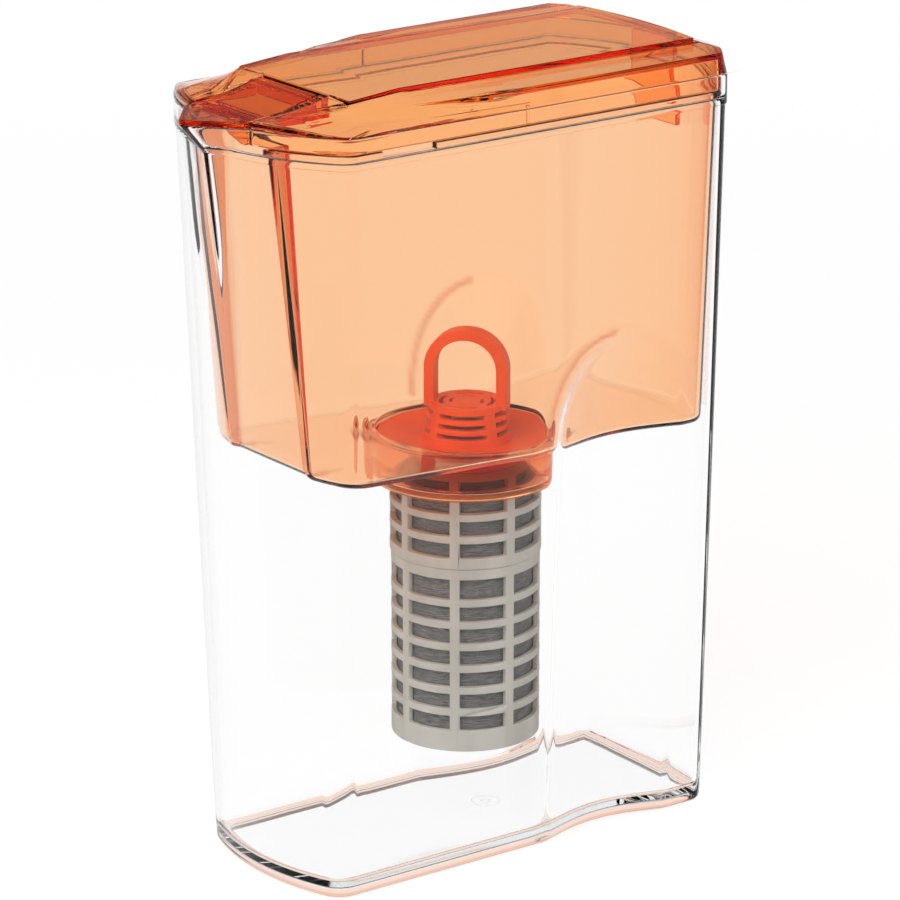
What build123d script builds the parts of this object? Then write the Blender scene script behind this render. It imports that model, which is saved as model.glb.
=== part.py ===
import os
from math import atan2, cos, degrees, hypot, pi, radians, sin
from build123d import *

# Water filter pitcher. Millimetres, Z up, the spout points to -X and the grip end to +X.
# The origin lies on the resting plane, in the middle of the length.

# Jug: outline of the wall at the resting plane and just under the rim band
jug_height = 263.7
wall = 2.6
base_half_width = 37.8
base_front_corner = -67.4
base_front = -75.6
base_tail_corner = 88.6
base_tail = 93.0
top_half_width = 49.1
top_front_corner = -69.4
top_front = -89.1
top_tail_corner = 84.0
top_tail = 101.3
front_corner_radius = 10.0
tail_corner_radius = 6.0
base_edge_radius = 2.5
base_edge_steps = 3
floor_underside = 2.9
floor_thickness = 2.5
foot_width = 5.2
gate_mark_diameter = 11.0
gate_mark_place = 20.5
gate_mark_height = 0.5

# Rim band and the ledge inside it
band_height = 10.4
rim_wall = 1.6
band_projection = 0.4
ledge_depth = 1.9

# Spout: a prow that flares at the lip
spout_tip = -102.25
spout_root = -86.8
spout_half_width = 19.0
spout_tip_radius = 2.0
prow_back = -70.0
# stations of the prow from its bottom to the lip: height, tip, root and half width
prow_stations = [
    (182.0, -84.6, -80.6, 6.0),
    (222.5, -88.4, -83.5, 11.0),
    (230.5, -91.9, -84.6, 14.0),
    (jug_height - band_height, -92.9, -85.1, 16.0),
    (jug_height, spout_tip, spout_root, spout_half_width),
]
# the inner tip lies back by this many wall thicknesses, as the sides meet at a slant
prow_tip_share = 1.3

# Grip: one hollow in each side of the rear half, open at the bottom and rounded off at the top
grip_front = 20.0
grip_rear = 70.5
grip_top = 177.0
grip_depth = 5.9
grip_middle = 46.5
grip_fade = 20.0
grip_steps = 6
# a point on each flank of the hollow: its share of the way to the middle, and of the depth
grip_flank_place = 0.45
grip_flank_depth = 0.58

# Reservoir: hangs in the jug by its flange
reservoir_wall = 1.8
reservoir_gap = 1.2
flange_thickness = 2.5
flange_gap = 0.4
reservoir_underside = 140.4
reservoir_front_rise = 3.4
reservoir_bottom_front = -70.5
reservoir_bottom_front_corner = -62.8
channel_half_width = 20.5
channel_depth_top = 10.8
channel_depth_bottom = 4.0
notch_front = -55.4
notch_length = 20.5
notch_depth = 2.5

# Cartridge and its socket
cartridge_x = 11.7
socket_bottom = 125.3
socket_wall = 1.2
socket_seat_width = 1.6
socket_floor_thickness = 2.4
socket_chamfer = 1.0
cap_radius = 30.6
bore_clearance = 0.4
dish_rim_height = 140.8
dish_drop = 2.2
dish_thickness = 1.5
dish_rim_thickness = 1.0
dish_rim_width = 0.8
hub_radius = 15.6
cap_underside = 133.3
end_disc_thickness = 1.8
turret_height = 11.0
turret_base_radius = 15.4
turret_top_radius = 12.8
turret_wall = 2.0
slot_rows = 3
slot_height = 1.5
slot_pitch = 3.3
slot_post_width = 4.2
slot_columns = 4
top_slot_radii = (5.4, 8.8)
top_slot_width = 1.3
loop_height = 36.4
loop_width = 28.8
loop_band = 3.7
loop_depth = 6.5
loop_turn = -50.0
loop_crown_radius = 14.0
cage_radius = 25.5
collar_radius = 25.9
cage_wall = 2.0
cage_bottom = 33.9
cage_seam = 99.5
cage_columns = 8
bar_width = 3.4
row_height = 5.2
row_pitch = 7.84
first_row_height = 7.1
bottom_band = 7.6
lower_rows = 7
collar_rows = 4
collar_band = 3.9
collar_top_row_height = 3.4
cage_lap = 3.0
seal_thickness = 1.0
seal_width = 1.8
seal_inset = 0.3
felt_thickness = 2.0
felt_gap = 0.2
core_radius = 8.6
core_wall = 1.4
core_slot_rows = 9
core_slot_height = 5.0
core_slot_width = 2.4
layer_gap = 0.1
core_fleece = 0.6
end_cap_thickness = 2.2
gasket_thickness = 1.4
gasket_bore = 16.4
gasket_width = 3.6
screen_thickness = 0.5
screen_hole_diameter = 1.2
screen_hole_pitch = 2.1
screen_holes = (6, 12, 18, 24, 30)

# Lid
lid_inset = 0.2
lid_side_rise = 8.0
lid_side_lean = 1.8
lid_plate = 2.6
lid_skirt_gap = 0.5
lid_skirt_thickness = 2.0
lid_skirt_foot_gap = 0.4
# the inner face of the roof moves inwards by these shares of the plate thickness
lid_edge_share = 0.6
lid_crease_share = 0.4
# stations of the roof from the spout to the tail: place along X, half width and rise above
# the rim of the shoulder edge, then half width and rise of the inner crease
roof_stations = [
    (-96.0, 30.0, 0.9, 20.0, 1.3),
    (-73.0, 35.0, 2.6, 25.0, 3.4),
    (-57.0, 39.7, 2.6, 30.5, 7.2),
    (-38.0, 41.6, 3.8, 31.0, 8.0),
    (-18.0, 44.7, 5.8, 31.3, 7.4),
    (2.0, 47.5, 6.8, 31.5, 7.0),
    (88.0, 47.5, 7.0, 31.5, 7.0),
    (102.0, 47.5, 3.0, 31.5, 3.0),
]
panel_half_width = 31.3
panel_rise = 9.0
panel_tail = 87.5
panel_tail_sag = 3.0
panel_front = -57.0
panel_front_rise = 7.4
panel_full = -38.0
rib_position = 3.0
rib_width = 1.0
tail_tab_half_width = 11.5
tail_tab_length = 26.0
tail_tab_thickness = 2.0
tail_tab_root = 1.0
tail_tab_gap = 2.0

# Spout flap and its hinge
flap_rear = -59.2
flap_half_width = 16.0
flap_rear_rise = 7.0
flap_middle = -72.5
flap_middle_rise = 3.3
flap_lip_start = -88.0
flap_plate = 2.2
flap_wall = 2.0
flap_side_gap = 0.4
flap_rear_gap = 1.5
flap_skirt_front = -80.0
flap_lip_thickness = 1.7
pin_diameter = 2.4
pin_clearance = 0.3
pin_setback = 2.2
pin_depth = 2.3
pin_seat = 1.4
pocket_wall = 2.0
pocket_front = -76.0
pocket_floor_thickness = 1.8
pocket_depth = 1.8
flap_floor_gap = 0.6
arm_root = -88.0
arm_end = -82.5
arm_drop = 5.0
arm_radius = 2.2
arm_inner = 8.8
arm_width = 2.4

# how far the cutting tools stick out of the material
tool_reach = 20.0
overcut = 1.0
grip_least_share = 0.01

band_bottom = jug_height - band_height
floor_top = floor_underside + floor_thickness
ledge_top = band_bottom + ledge_depth
side_slope = (top_half_width - base_half_width) / band_bottom
tool_side = top_half_width + tool_reach


def plan_outline(half_width, front_corner, front, tail_corner, tail, inset=0.0):
    # straight sides, an arc at the front and an arc at the tail
    with BuildSketch(mode=Mode.PRIVATE) as outline:
        with BuildLine():
            Line((front_corner, half_width), (tail_corner, half_width))
            ThreePointArc((tail_corner, half_width), (tail, 0), (tail_corner, -half_width))
            Line((tail_corner, -half_width), (front_corner, -half_width))
            ThreePointArc((front_corner, -half_width), (front, 0), (front_corner, half_width))
        make_face()
        fillet(outline.vertices().sort_by(Axis.X)[:2], front_corner_radius)
        fillet(outline.vertices().sort_by(Axis.X)[-2:], tail_corner_radius)
        if inset:
            offset(amount=-inset, mode=Mode.REPLACE)
    return outline.sketch


def wall_outline(height, inset=0.0):
    # the outline of the jug wall at a height, shrunk by an inset
    share = height / band_bottom
    return plan_outline(
        base_half_width + share * (top_half_width - base_half_width),
        base_front_corner + share * (top_front_corner - base_front_corner),
        base_front + share * (top_front - base_front),
        base_tail_corner + share * (top_tail_corner - base_tail_corner),
        base_tail + share * (top_tail - base_tail),
        inset,
    )


def prow_outline(tip, root, half_width, back, inset=0.0):
    # a pointed bow: a square back inside the jug and two straight sides to the tip
    side = half_width - inset
    with BuildSketch(mode=Mode.PRIVATE) as outline:
        with BuildLine():
            Polyline(
                (tip + prow_tip_share * inset, 0),
                (root, side),
                (back, side),
                (back, -side),
                (root, -side),
                close=True,
            )
        make_face()
        fillet(outline.vertices().sort_by(Axis.X)[0], spout_tip_radius)
    return outline.sketch


def grip_section(height, depth_share, shift):
    # one level of the hollow on the -Y side: two flanks that swing in from the wall and meet
    edge = -(base_half_width + side_slope * height - shift)
    deepest = edge + grip_depth * depth_share
    flank = edge + grip_depth * depth_share * grip_flank_depth
    front = grip_front - shift
    rear = grip_rear + shift
    with BuildSketch(mode=Mode.PRIVATE) as section:
        with BuildLine():
            Spline(
                (front, edge),
                (front + grip_flank_place * (grip_middle - front), flank),
                (grip_middle, deepest),
                (rear - grip_flank_place * (rear - grip_middle), flank),
                (rear, edge),
                tangents=((1, 0), (1, 0)),
            )
            Polyline((rear, edge), (rear, -tool_side), (front, -tool_side), (front, edge))
        make_face()
    return section.sketch


def grip_hollow(shift):
    # tool for the hollow on the -Y side, moved inwards from the outer wall by shift
    fade_top = grip_top + shift
    with BuildPart(mode=Mode.PRIVATE) as hollow:
        for height in (-overcut, fade_top - grip_fade):
            with BuildSketch(Plane.XY.offset(height)):
                add(grip_section(height, 1, shift))
        loft(ruled=True)
        # the depth fades out upwards in half a cosine wave
        for step in range(grip_steps + 1):
            share = step / grip_steps
            depth_share = max((1 + cos(share * pi)) / 2, grip_least_share)
            height = fade_top - grip_fade * (1 - share)
            with BuildSketch(Plane.XY.offset(height)):
                add(grip_section(height, depth_share, shift))
        loft(ruled=True)
    return hollow.part


def both_sides(tool):
    # cut a tool and its mirror image out of the open part
    add(tool, mode=Mode.SUBTRACT)
    add(tool.mirror(Plane.XZ), mode=Mode.SUBTRACT)


# Jug wall, solid, with the prow and the grip hollows
band_half_width = top_half_width + band_projection
band_front_corner = top_front_corner - band_projection
band_front = top_front - band_projection
band_tail_corner = top_tail_corner + band_projection
band_tail = top_tail + band_projection


def band_outline(inset=0.0):
    return plan_outline(
        band_half_width, band_front_corner, band_front, band_tail_corner, band_tail, inset
    )


with BuildPart() as jug_body:
    for step in range(base_edge_steps + 1):
        turn = pi / 2 * step / base_edge_steps
        with BuildSketch(Plane.XY.offset(base_edge_radius * (1 - cos(turn)))):
            add(wall_outline(0, base_edge_radius * (1 - sin(turn))))
    with BuildSketch(Plane.XY.offset(band_bottom)):
        add(wall_outline(band_bottom))
    loft(ruled=True)
    with BuildSketch(Plane.XY.offset(band_bottom)):
        add(band_outline())
    extrude(amount=band_height)
    for height, tip, root, half_width in prow_stations:
        with BuildSketch(Plane.XY.offset(height)):
            add(prow_outline(tip, root, half_width, prow_back))
    loft(ruled=True)
    both_sides(grip_hollow(0))

    # inside: the chamber, the widened band above the ledge, and the prow
    with BuildPart(mode=Mode.PRIVATE) as chamber:
        with BuildSketch(Plane.XY.offset(floor_top)):
            add(wall_outline(floor_top, wall))
        with BuildSketch(Plane.XY.offset(band_bottom)):
            add(wall_outline(band_bottom, wall))
        loft(ruled=True)
        with BuildSketch(Plane.XY.offset(band_bottom)):
            add(wall_outline(band_bottom, wall))
        extrude(amount=band_height + overcut)
        both_sides(grip_hollow(wall))
    add(chamber.part, mode=Mode.SUBTRACT)
    with BuildSketch(Plane.XY.offset(ledge_top)):
        add(band_outline(rim_wall))
    extrude(amount=band_height, mode=Mode.SUBTRACT)
    with BuildPart(mode=Mode.PRIVATE) as throat:
        for height, tip, root, half_width in prow_stations:
            with BuildSketch(Plane.XY.offset(height)):
                add(prow_outline(tip, root, half_width, prow_back, wall))
        loft(ruled=True)
        with BuildSketch(Plane.XY.offset(jug_height)):
            add(prow_outline(spout_tip, spout_root, spout_half_width, prow_back, wall))
        extrude(amount=overcut)
    add(throat.part, mode=Mode.SUBTRACT)

    # foot ring under the floor, and the moulding mark inside it
    with BuildPart(mode=Mode.PRIVATE) as underside:
        with BuildSketch(Plane.XY):
            add(wall_outline(0, foot_width))
        extrude(amount=floor_underside)
        both_sides(grip_hollow(foot_width))
    add(underside.part, mode=Mode.SUBTRACT)
    with BuildSketch(Plane.XY.offset(floor_underside - gate_mark_height)):
        with Locations((gate_mark_place, 0)):
            Circle(gate_mark_diameter / 2)
    extrude(amount=gate_mark_height)
jug_body.part.label = "jug_body"


# Reservoir
socket_bore = cap_radius + bore_clearance
socket_radius = socket_bore + socket_wall
socket_mouth = reservoir_underside + reservoir_wall
rim_underside = dish_rim_height - dish_rim_thickness
seat_height = rim_underside - seal_thickness
socket_floor = socket_bottom + socket_floor_thickness
collar_hole = collar_radius + bore_clearance
side_gap = wall + reservoir_gap
beyond_front = spout_tip - tool_reach
channel_top = top_front + side_gap + channel_depth_top
axis_plane = Plane(origin=(cartridge_x, 0, 0), x_dir=(1, 0, 0), z_dir=(0, -1, 0))
cartridge_axis = Axis((cartridge_x, 0, 0), (0, 0, 1))


def reservoir_shape(inset, lift):
    # the tapered funnel body, shrunk by an inset and with its floor raised by lift
    floor = reservoir_underside + lift
    share = floor / band_bottom
    with BuildPart(mode=Mode.PRIVATE) as shape:
        with BuildSketch(Plane.XY.offset(floor)):
            add(
                plan_outline(
                    base_half_width + share * (top_half_width - base_half_width) - side_gap,
                    reservoir_bottom_front_corner,
                    reservoir_bottom_front,
                    base_tail_corner + share * (top_tail_corner - base_tail_corner) - side_gap,
                    base_tail + share * (top_tail - base_tail) - side_gap,
                    inset,
                )
            )
        with BuildSketch(Plane.XY.offset(band_bottom)):
            add(wall_outline(band_bottom, side_gap + inset))
        loft(ruled=True)
        with BuildSketch(Plane.XY.offset(band_bottom)):
            add(wall_outline(band_bottom, side_gap + inset))
        extrude(amount=ledge_depth + flange_thickness)
        both_sides(grip_hollow(side_gap + inset))
        # the floor climbs towards the front
        climb = reservoir_front_rise / (cartridge_x - reservoir_bottom_front)
        with BuildSketch(Plane.XZ):
            with BuildLine():
                Polyline(
                    (cartridge_x, floor),
                    (beyond_front, floor + climb * (cartridge_x - beyond_front)),
                    (beyond_front, floor - overcut),
                    (cartridge_x, floor - overcut),
                    close=True,
                )
            make_face()
        extrude(amount=top_half_width, both=True, mode=Mode.SUBTRACT)
        # the pouring channel in the middle of the front wall
        front_top = channel_top + inset
        front_bottom = reservoir_bottom_front + channel_depth_bottom + inset
        with BuildSketch(Plane.XZ):
            with BuildLine():
                Polyline(
                    (beyond_front, socket_bottom),
                    (front_bottom, socket_bottom),
                    (front_bottom, reservoir_underside),
                    (front_top, ledge_top),
                    (front_top, jug_height),
                    (beyond_front, jug_height),
                    close=True,
                )
            make_face()
        extrude(amount=channel_half_width + inset, both=True, mode=Mode.SUBTRACT)
    return shape.part


with BuildPart() as reservoir:
    add(reservoir_shape(0, 0))
    # hanging flange with a finger notch in each side
    with BuildSketch(Plane.XY.offset(ledge_top)):
        add(band_outline(rim_wall + flange_gap))
        with Locations((channel_top, 0)):
            Rectangle(
                channel_top - beyond_front,
                2 * channel_half_width,
                align=(Align.MAX, Align.CENTER),
                mode=Mode.SUBTRACT,
            )
        notch_middle = notch_front + notch_length / 2
        notch_y = band_half_width - rim_wall - flange_gap
        with Locations((notch_middle, notch_y), (notch_middle, -notch_y)):
            Rectangle(notch_length, 2 * notch_depth, mode=Mode.SUBTRACT)
    extrude(amount=flange_thickness)
    # socket cup for the cartridge
    with BuildSketch(axis_plane):
        with BuildLine():
            Polyline(
                (0, socket_bottom),
                (socket_radius - socket_chamfer, socket_bottom),
                (socket_radius, socket_bottom + socket_chamfer),
                (socket_radius, socket_mouth),
                (0, socket_mouth),
                close=True,
            )
        make_face()
    revolve(axis=cartridge_axis)
    add(reservoir_shape(reservoir_wall, reservoir_wall), mode=Mode.SUBTRACT)
    # the bore has a step near its mouth, the seat of the cap's rim
    with BuildSketch(Plane.XY.offset(socket_floor)):
        with Locations((cartridge_x, 0)):
            Circle(socket_bore - socket_seat_width)
    extrude(amount=seat_height - socket_floor, mode=Mode.SUBTRACT)
    with BuildSketch(Plane.XY.offset(seat_height)):
        with Locations((cartridge_x, 0)):
            Circle(socket_bore)
    extrude(amount=socket_mouth + reservoir_front_rise - seat_height, mode=Mode.SUBTRACT)
    with BuildSketch(Plane.XY.offset(socket_bottom)):
        with Locations((cartridge_x, 0)):
            Circle(collar_hole)
    extrude(amount=socket_floor_thickness, mode=Mode.SUBTRACT)
reservoir.part.label = "reservoir"


def ring(inner, outer, bottom, top):
    # a plain tube or washer about the cartridge axis
    with BuildPart(mode=Mode.PRIVATE) as tube:
        with BuildSketch(Plane.XY.offset(bottom)):
            with Locations((cartridge_x, 0)):
                Circle(outer)
                if inner:
                    Circle(inner, mode=Mode.SUBTRACT)
        extrude(amount=top - bottom)
    return tube.part


def cage_rows(first_bottom, heights, pitch):
    # the window rows of a cage: rings of gaps between the upright bars
    with BuildPart(mode=Mode.PRIVATE) as rows:
        for row, height in enumerate(heights):
            with BuildSketch(Plane.XY.offset(first_bottom + row * pitch)):
                with Locations((cartridge_x, 0)):
                    Circle(collar_radius + overcut)
                    Circle(cage_radius - cage_wall - overcut, mode=Mode.SUBTRACT)
                    with PolarLocations(0, cage_columns // 2, 0, 180):
                        Rectangle(3 * cage_radius, bar_width, mode=Mode.SUBTRACT)
            extrude(amount=height)
    return rows.part


def arch_outline(width, rise, crown_radius):
    # an upright rectangle on the sketch's X axis with its two top corners rounded
    with BuildSketch(mode=Mode.PRIVATE) as arch:
        with Locations((0, rise / 2)):
            Rectangle(width, rise)
        fillet(arch.vertices().sort_by(Axis.Y)[-2:], crown_radius)
    return arch.sketch


def slot_sectors(inner, outer):
    # equal ring sectors about the cartridge axis, with upright posts between them
    with BuildSketch(mode=Mode.PRIVATE) as sectors:
        with Locations((cartridge_x, 0)):
            Circle(outer)
            Circle(inner, mode=Mode.SUBTRACT)
            with PolarLocations(0, slot_columns // 2, 0, 180):
                Rectangle(3 * outer, slot_post_width, mode=Mode.SUBTRACT)
    return sectors.sketch


# Cartridge cap: dish, slotted turret, hub with the end disc of the cage, and arched loop
dish_floor = dish_rim_height - dish_drop
turret_top = dish_rim_height + turret_height
seal_outer = cap_radius - seal_inset
seal_bore = seal_outer - seal_width
with BuildPart() as cartridge_cap:
    with BuildSketch(axis_plane):
        with BuildLine():
            Polyline(
                (0, turret_top),
                (turret_top_radius, turret_top),
                (turret_base_radius, dish_floor),
                (cap_radius - dish_rim_width, dish_rim_height),
                (cap_radius, dish_rim_height),
                (cap_radius, rim_underside),
                (seal_bore, rim_underside),
                (hub_radius, dish_floor - dish_thickness),
                (hub_radius, cap_underside + end_disc_thickness),
                (collar_radius, cap_underside + end_disc_thickness),
                (collar_radius, cap_underside),
                (0, cap_underside),
                close=True,
            )
        make_face()
    revolve(axis=cartridge_axis)
    loop_plane = Plane(
        origin=(cartridge_x, 0, dish_floor),
        x_dir=(cos(radians(loop_turn)), sin(radians(loop_turn)), 0),
        z_dir=(sin(radians(loop_turn)), -cos(radians(loop_turn)), 0),
    )
    loop_rise = dish_rim_height + loop_height - dish_floor
    with BuildSketch(loop_plane):
        add(arch_outline(loop_width, loop_rise, loop_crown_radius))
        add(arch_outline(loop_width - 2 * loop_band, loop_rise - loop_band, loop_crown_radius - loop_band),
            mode=Mode.SUBTRACT)
    extrude(amount=loop_depth / 2, both=True)
    # hollow of the turret
    with BuildSketch(axis_plane):
        with BuildLine():
            Polyline(
                (0, turret_top - turret_wall),
                (turret_top_radius - turret_wall, turret_top - turret_wall),
                (turret_base_radius - turret_wall, cap_underside),
                (0, cap_underside),
                close=True,
            )
        make_face()
    revolve(axis=cartridge_axis, mode=Mode.SUBTRACT)
    # rows of water slots in the side of the turret and two rings of them on its top
    for row in range(slot_rows):
        with BuildSketch(Plane.XY.offset(turret_top - turret_wall - slot_height - row * slot_pitch)):
            add(slot_sectors(turret_top_radius - turret_wall - overcut, turret_base_radius + overcut))
        extrude(amount=slot_height, mode=Mode.SUBTRACT)
    for radius in top_slot_radii:
        with BuildSketch(Plane.XY.offset(turret_top - turret_wall)):
            add(slot_sectors(radius - top_slot_width / 2, radius + top_slot_width / 2))
        extrude(amount=turret_wall, mode=Mode.SUBTRACT)
cartridge_cap.part.label = "cartridge_cap"

with BuildPart() as socket_seal:
    add(ring(seal_bore, seal_outer, seat_height, rim_underside))
socket_seal.part.label = "socket_seal"

# Cage in two lengths, the lower one spigoted into the collar
collar_top = cap_underside
cage_bore = cage_radius - cage_wall
spigot_radius = (cage_radius + cage_bore) / 2
with BuildPart() as upper_cage:
    add(ring(cage_bore, collar_radius, cage_seam, collar_top))
    add(ring(0, spigot_radius + layer_gap, cage_seam, cage_seam + cage_lap + layer_gap), mode=Mode.SUBTRACT)
    collar_row_heights = [row_height] * (collar_rows - 1) + [collar_top_row_height]
    add(cage_rows(cage_seam + collar_band, collar_row_heights, row_pitch), mode=Mode.SUBTRACT)
upper_cage.part.label = "upper_cage"

with BuildPart() as lower_cage:
    add(ring(cage_bore, cage_radius, cage_bottom, cage_seam))
    add(ring(cage_bore, spigot_radius, cage_seam, cage_seam + cage_lap))
    add(ring(0, cage_radius, cage_bottom, cage_bottom + cage_wall))
    row_heights = [row_height] * (lower_rows - 1) + [first_row_height]
    add(cage_rows(cage_bottom + bottom_band, row_heights, row_pitch), mode=Mode.SUBTRACT)
lower_cage.part.label = "lower_cage"

# Inside the cage: felt, carbon block between two end caps, fleece and core tube
stack_bottom = cage_bottom + cage_wall
stack_top = cap_underside - gasket_thickness
block_bottom = stack_bottom + end_cap_thickness
block_top = stack_top - end_cap_thickness
felt_radius = cage_bore - felt_gap
block_radius = felt_radius - felt_thickness - layer_gap
fleece_bore = core_radius + layer_gap
block_bore = fleece_bore + core_fleece + layer_gap
with BuildPart() as felt_wrap:
    add(ring(felt_radius - felt_thickness, felt_radius, block_bottom, block_top))
felt_wrap.part.label = "felt_wrap"

with BuildPart() as carbon_block:
    add(ring(block_bore, block_radius, block_bottom, block_top))
carbon_block.part.label = "carbon_block"

with BuildPart() as core_sleeve:
    add(ring(fleece_bore, fleece_bore + core_fleece, block_bottom, block_top))
core_sleeve.part.label = "core_sleeve"

with BuildPart() as core_tube:
    add(ring(core_radius - core_wall, core_radius, block_bottom, block_top))
    slot_room = (block_top - block_bottom) / core_slot_rows
    for row in range(core_slot_rows):
        with BuildSketch(Plane.XY.offset(block_bottom + (row + 0.5) * slot_room - core_slot_height / 2)):
            with Locations((cartridge_x, 0)):
                with PolarLocations(0, 2, 90 * (row % 2) / 2, 180):
                    Rectangle(3 * core_radius, core_slot_width)
        extrude(amount=core_slot_height, mode=Mode.SUBTRACT)
core_tube.part.label = "core_tube"

with BuildPart() as bottom_end_cap:
    add(ring(0, felt_radius, stack_bottom, block_bottom))
bottom_end_cap.part.label = "bottom_end_cap"

with BuildPart() as top_end_ring:
    add(ring(core_radius - core_wall, felt_radius, block_top, stack_top))
top_end_ring.part.label = "top_end_ring"

with BuildPart() as cap_gasket:
    add(ring(gasket_bore, gasket_bore + gasket_width, stack_top, cap_underside))
cap_gasket.part.label = "cap_gasket"

with BuildPart() as inlet_screen:
    add(ring(0, turret_base_radius, cap_underside - screen_thickness, cap_underside))
    for circle, count in enumerate(screen_holes):
        with BuildSketch(Plane.XY.offset(cap_underside - screen_thickness)):
            with Locations((cartridge_x, 0)):
                with PolarLocations((circle + 1) * screen_hole_pitch, count):
                    Circle(screen_hole_diameter / 2)
        extrude(amount=screen_thickness, mode=Mode.SUBTRACT)
inlet_screen.part.label = "inlet_screen"


# Lid: a thin roof with a raised panel, a skirt inside the band and a pocket for the flap
lid_edge = band_half_width - lid_inset
skirt_inset = rim_wall + lid_skirt_gap
cavity_inset = skirt_inset + lid_skirt_thickness
skirt_foot = ledge_top + flange_thickness + lid_skirt_foot_gap
pocket_half_width = flap_half_width + flap_side_gap
pocket_rear = flap_rear + flap_rear_gap
pocket_floor = jug_height - pocket_depth
pin_x = flap_rear - pin_setback
pin_z = jug_height + flap_rear_rise - pin_depth


def roof(drop, foot):
    # everything under the roof surface, lowered by drop, down to the height foot
    with BuildPart(mode=Mode.PRIVATE) as under:
        for station, edge_y, edge_rise, crease_y, crease_rise in roof_stations:
            edge = (edge_y - lid_edge_share * drop, jug_height + edge_rise - drop)
            crease = (crease_y - lid_crease_share * drop, jug_height + crease_rise - drop)
            with BuildSketch(Plane.YZ.offset(station)):
                with BuildLine():
                    Polyline(
                        (-lid_edge, foot),
                        (-lid_edge, jug_height - drop),
                        (-edge[0], edge[1]),
                        (-crease[0], crease[1]),
                        crease,
                        edge,
                        (lid_edge, jug_height - drop),
                        (lid_edge, foot),
                        close=True,
                    )
                make_face()
        loft(ruled=True)
        # the raised panel, with its front end ramped down to the flap
        side = panel_half_width - lid_crease_share * drop
        tail_corner = panel_tail - panel_tail_sag - drop
        with BuildSketch(Plane.XY.offset(foot)):
            with BuildLine():
                Line((panel_front, -side), (panel_front, side))
                Line((panel_front, side), (tail_corner, side))
                ThreePointArc((tail_corner, side), (panel_tail - drop, 0), (tail_corner, -side))
                Line((tail_corner, -side), (panel_front, -side))
            make_face()
        extrude(amount=jug_height + panel_rise - drop - foot)
        with BuildSketch(Plane.XZ):
            with BuildLine():
                Polyline(
                    (panel_front, jug_height + panel_front_rise - drop),
                    (panel_full, jug_height + panel_rise - drop),
                    (panel_full, jug_height + panel_rise + overcut),
                    (panel_front - overcut, jug_height + panel_rise + overcut),
                    (panel_front - overcut, jug_height + panel_front_rise - drop),
                    close=True,
                )
            make_face()
        extrude(amount=band_half_width, both=True, mode=Mode.SUBTRACT)
    return under.part


with BuildPart() as lid:
    with BuildSketch(Plane.XY.offset(jug_height)):
        add(band_outline(lid_inset))
    with BuildSketch(Plane.XY.offset(jug_height + lid_side_rise)):
        add(band_outline(lid_inset + lid_side_lean))
    loft(ruled=True)
    with BuildSketch(Plane.XY.offset(jug_height + lid_side_rise)):
        add(band_outline(lid_inset + lid_side_lean))
    extrude(amount=panel_rise)
    add(roof(0, skirt_foot), mode=Mode.INTERSECT)
    with BuildSketch(Plane.XY.offset(skirt_foot)):
        add(band_outline(skirt_inset))
    extrude(amount=jug_height - skirt_foot)
    with BuildPart(mode=Mode.PRIVATE) as cavity:
        with BuildSketch(Plane.XY.offset(skirt_foot)):
            add(band_outline(cavity_inset))
        extrude(amount=jug_height + panel_rise - skirt_foot)
        add(roof(lid_plate, skirt_foot), mode=Mode.INTERSECT)
    add(cavity.part, mode=Mode.SUBTRACT)
    # pocket: a trough under the flap, open at the front
    with BuildPart(mode=Mode.PRIVATE) as trough:
        with BuildSketch(Plane.XY.offset(pocket_floor - pocket_floor_thickness)):
            with Locations(((pocket_front + pocket_rear + pocket_wall) / 2, 0)):
                Rectangle(
                    pocket_rear + pocket_wall - pocket_front,
                    2 * (pocket_half_width + pocket_wall),
                )
        extrude(amount=panel_rise + pocket_depth + pocket_floor_thickness)
        add(roof(0, pocket_floor - pocket_floor_thickness), mode=Mode.INTERSECT)
    add(trough.part)
    with BuildSketch(Plane.XY.offset(pocket_floor)):
        with Locations((pocket_rear, 0)):
            Rectangle(band_tail - band_front, 2 * pocket_half_width, align=(Align.MAX, Align.CENTER))
    extrude(amount=2 * panel_rise, mode=Mode.SUBTRACT)
    with BuildSketch(Plane.XY.offset(skirt_foot)):
        with Locations((pocket_front, 0)):
            Rectangle(band_tail - band_front, 2 * pocket_half_width, align=(Align.MAX, Align.CENTER))
    extrude(amount=2 * panel_rise, mode=Mode.SUBTRACT)
    # one upright rib inside each long side and a stiff tab at the tail
    for side in (-1, 1):
        with BuildSketch(Plane.XY.offset(skirt_foot)):
            with Locations((rib_position, side * (band_half_width - cavity_inset))):
                Rectangle(rib_width, 2 * rib_width)
        extrude(amount=jug_height - skirt_foot)
    tab_outer = top_tail - side_gap - reservoir_wall - tail_tab_gap
    with BuildSketch(Plane.XY.offset(jug_height - tail_tab_length)):
        with Locations((tab_outer - tail_tab_thickness / 2, 0)):
            Rectangle(tail_tab_thickness, 2 * tail_tab_half_width)
    # the roof slopes down between its last two stations
    slope_start, slope_end = roof_stations[-2:]
    tail_share = (tab_outer - slope_start[0]) / (slope_end[0] - slope_start[0])
    tail_rise = slope_start[2] + tail_share * (slope_end[2] - slope_start[2])
    extrude(amount=tail_tab_length + tail_rise - lid_plate + tail_tab_root)
    # blind holes for the hinge pin
    with BuildSketch(Plane.XZ):
        with Locations((pin_x, pin_z)):
            Circle(pin_diameter / 2)
    extrude(amount=pocket_half_width + pin_seat, both=True, mode=Mode.SUBTRACT)
lid.part.label = "lid"

with BuildPart() as flap_pin:
    with BuildSketch(Plane.XZ):
        with Locations((pin_x, pin_z)):
            Circle(pin_diameter / 2)
    extrude(amount=pocket_half_width + pin_seat, both=True)
flap_pin.part.label = "flap_pin"

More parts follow.
